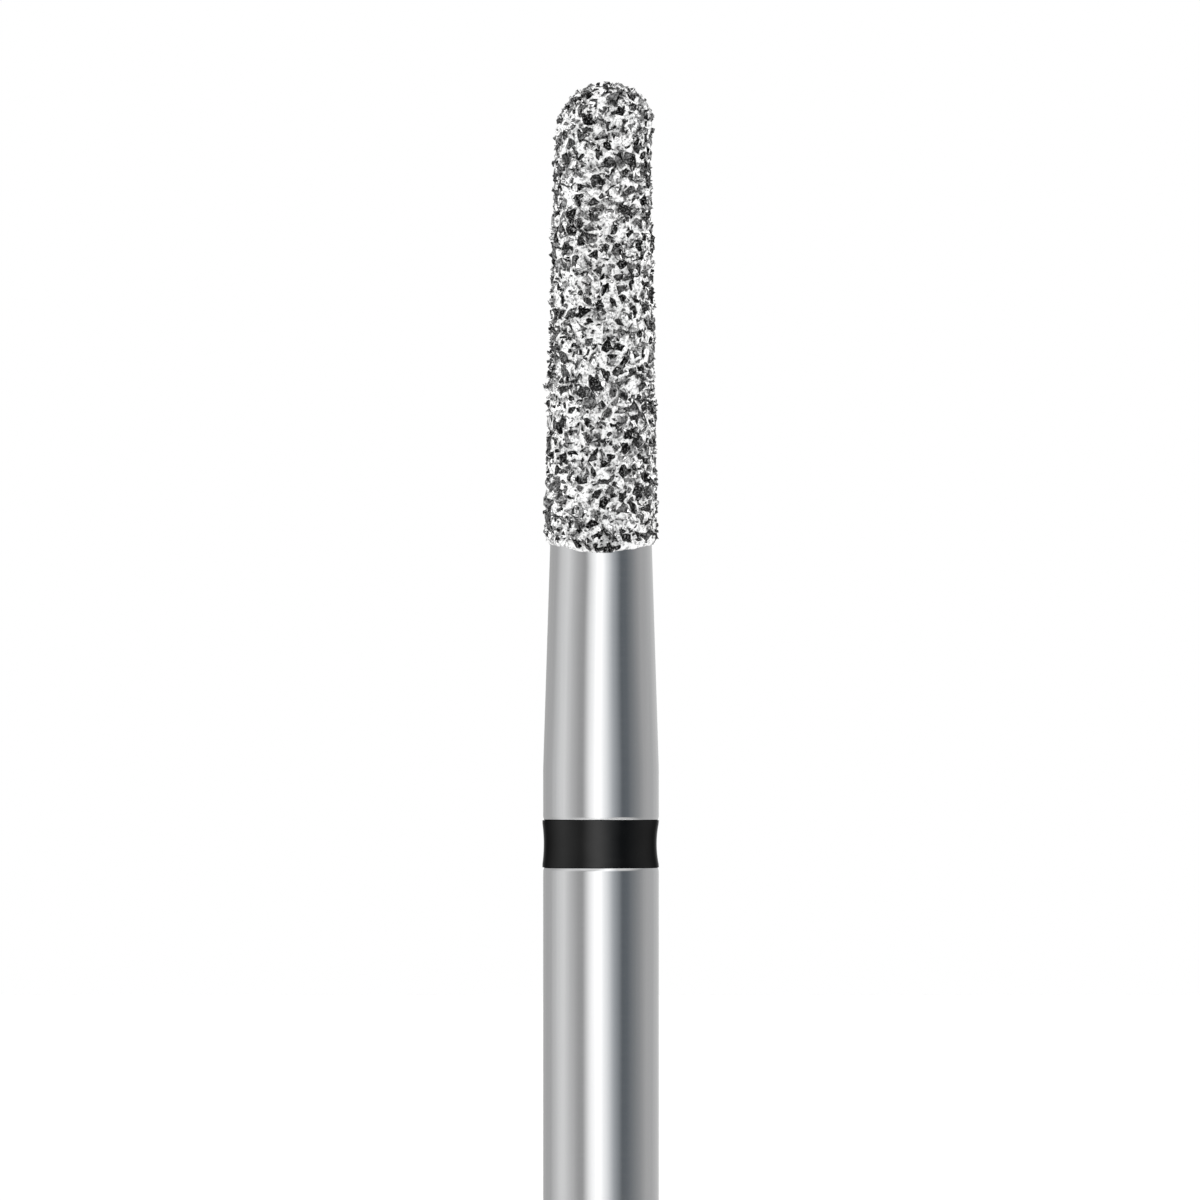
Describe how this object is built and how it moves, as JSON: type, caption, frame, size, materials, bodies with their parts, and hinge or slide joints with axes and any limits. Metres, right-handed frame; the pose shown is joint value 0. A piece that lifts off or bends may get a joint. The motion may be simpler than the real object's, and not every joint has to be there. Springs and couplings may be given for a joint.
{
  "type": "dental bur",
  "caption": "Straight dental bur with a slightly tapered, round-ended head coated in coarse diamond grit, a slim neck, a black colour band and a plain cylindrical shank.",
  "frame": {"origin": "centre of the shank's free end face", "axes": "+Z along the bur's axis, from the shank's end to the tip of the head"},
  "size_m": [0.0016, 0.0016, 0.0215],
  "materials": {
    "polished_steel": "centreless-ground and polished stainless steel",
    "black_lacquer": "satin black marking lacquer",
    "nickel_plate": "bright electroplated nickel, uneven between the crystals",
    "diamond": "rough broken synthetic diamond crystals"
  },
  "bodies": {
    "root": {"steel_blank": "polished_steel", "colour_ring": "black_lacquer", "nickel_bond": "nickel_plate", "diamond_grit": "diamond"}
  },
  "joints": []
}
